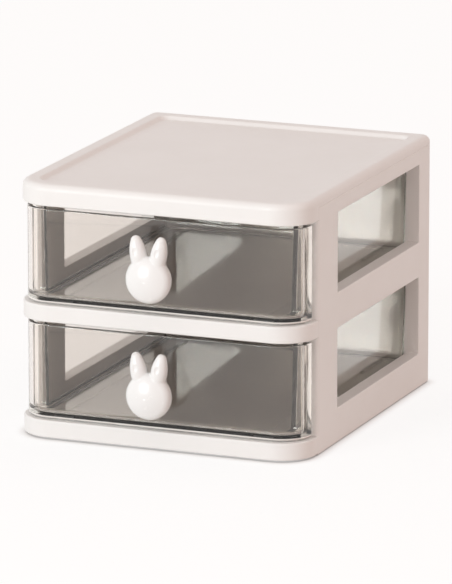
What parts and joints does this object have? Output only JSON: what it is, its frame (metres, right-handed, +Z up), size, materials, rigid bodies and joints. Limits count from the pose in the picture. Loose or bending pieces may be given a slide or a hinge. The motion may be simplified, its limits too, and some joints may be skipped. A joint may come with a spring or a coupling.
{
  "type": "two-drawer desk unit",
  "caption": "Desktop drawer unit: cream frame with rounded front lips and side windows, clear wrap-round drawers that slide out, and rabbit-head pulls.",
  "frame": {"origin": "on the desk, under the middle of the whole unit with drawers shut and pulls counted", "axes": "+Z up, -Y towards the user (drawers open along -Y), +X to the user's right"},
  "size_m": [0.18, 0.232, 0.151],
  "materials": {
    "frame_plastic": "satin moulded cream white",
    "clear_plastic": "clear moulded, faintly grey",
    "pull_plastic": "glossy white",
    "screw_steel": "zinc plated",
    "foot_rubber": "soft grey rubber"
  },
  "bodies": {
    "frame": {"base": "frame_plastic", "middle_shelf": "frame_plastic", "top_cover": "frame_plastic", "left_side_panel": "frame_plastic", "right_side_panel": "frame_plastic", "back_panel": "frame_plastic", "front_left_foot": "foot_rubber", "front_right_foot": "foot_rubber", "rear_left_foot": "foot_rubber", "rear_right_foot": "foot_rubber"},
    "lower_drawer": {"lower_drawer_tub": "clear_plastic", "lower_knob": "pull_plastic", "lower_knob_screw": "screw_steel"},
    "upper_drawer": {"upper_drawer_tub": "clear_plastic", "upper_knob": "pull_plastic", "upper_knob_screw": "screw_steel"}
  },
  "joints": [
    {"name": "lower_drawer_slide", "type": "slide", "parent": "frame", "child": "lower_drawer", "axis": [0, -1, 0], "range_m": [0, 0.15]},
    {"name": "upper_drawer_slide", "type": "slide", "parent": "frame", "child": "upper_drawer", "axis": [0, -1, 0], "range_m": [0, 0.15]}
  ]
}
